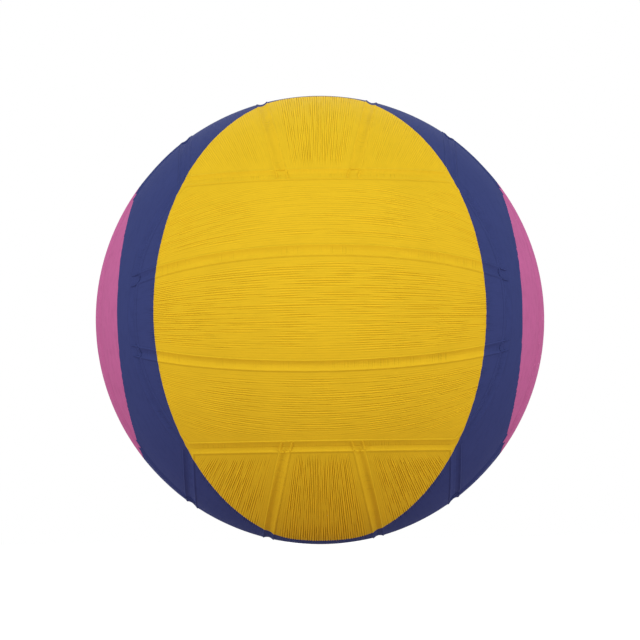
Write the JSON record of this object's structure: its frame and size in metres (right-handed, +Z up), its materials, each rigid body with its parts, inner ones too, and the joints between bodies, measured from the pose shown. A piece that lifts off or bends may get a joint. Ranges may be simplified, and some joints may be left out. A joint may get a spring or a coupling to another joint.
{
  "type": "water polo ball",
  "caption": "Inflated water polo ball: a moulded rubber cover of ridged strips with recessed channels, in yellow, blue and pink, over a wound carcass, with a pull-out needle valve.",
  "frame": {"origin": "centre of the ball", "axes": "+Z up, front on -Y, valve at the back on +Y, +X to the right seen from the front"},
  "size_m": [0.21, 0.2099, 0.21],
  "materials": {
    "cover_yellow": "matte, finely ridged",
    "cover_blue": "matte, finely ridged",
    "cover_pink": "matte, finely ridged",
    "coat_rubber": "matte",
    "winding_nylon": "wound thread",
    "bladder_butyl": "satin",
    "housing_butyl": "satin",
    "plug_rubber": "satin"
  },
  "bodies": {
    "ball": {"back_lower_blue_left": "cover_blue", "back_lower_blue_right": "cover_blue", "back_lower_yellow": "cover_yellow", "back_middle_blue_left": "cover_blue", "back_middle_blue_right": "cover_blue", "back_middle_yellow": "cover_yellow", "back_upper_blue_left": "cover_blue", "back_upper_blue_right": "cover_blue", "back_upper_yellow": "cover_yellow", "bladder": "bladder_butyl", "bottom_left_blue": "cover_blue", "bottom_left_yellow_front": "cover_yellow", "bottom_left_yellow_rear": "cover_yellow", "bottom_middle_blue": "cover_blue", "bottom_middle_yellow_front": "cover_yellow", "bottom_middle_yellow_rear": "cover_yellow", "bottom_right_blue": "cover_blue", "bottom_right_yellow_front": "cover_yellow", "bottom_right_yellow_rear": "cover_yellow", "carcass_coat": "coat_rubber", "front_lower_blue_left": "cover_blue", "front_lower_blue_right": "cover_blue", "front_lower_yellow": "cover_yellow", "front_middle_blue_left": "cover_blue", "front_middle_blue_right": "cover_blue", "front_middle_yellow": "cover_yellow", "front_upper_blue_left": "cover_blue", "front_upper_blue_right": "cover_blue", "front_upper_yellow": "cover_yellow", "left_front_blue": "cover_blue", "left_front_pink": "cover_pink", "left_middle_blue_lower": "cover_blue", "left_middle_blue_upper": "cover_blue", "left_middle_pink": "cover_pink", "left_rear_blue": "cover_blue", "left_rear_pink": "cover_pink", "right_front_blue": "cover_blue", "right_front_pink": "cover_pink", "right_middle_blue_lower": "cover_blue", "right_middle_blue_upper": "cover_blue", "right_middle_pink": "cover_pink", "right_rear_blue": "cover_blue", "right_rear_pink": "cover_pink", "top_left_blue": "cover_blue", "top_left_yellow_front": "cover_yellow", "top_left_yellow_rear": "cover_yellow", "top_middle_blue": "cover_blue", "top_middle_yellow_front": "cover_yellow", "top_middle_yellow_rear": "cover_yellow", "top_right_blue": "cover_blue", "top_right_yellow_front": "cover_yellow", "top_right_yellow_rear": "cover_yellow", "valve_housing": "housing_butyl", "winding": "winding_nylon"},
    "plug": {"valve_plug": "plug_rubber"}
  },
  "joints": [
    {"name": "plug_pull", "type": "slide", "parent": "ball", "child": "plug", "axis": [0, 1, 0], "range_m": [0, 0.03]}
  ]
}
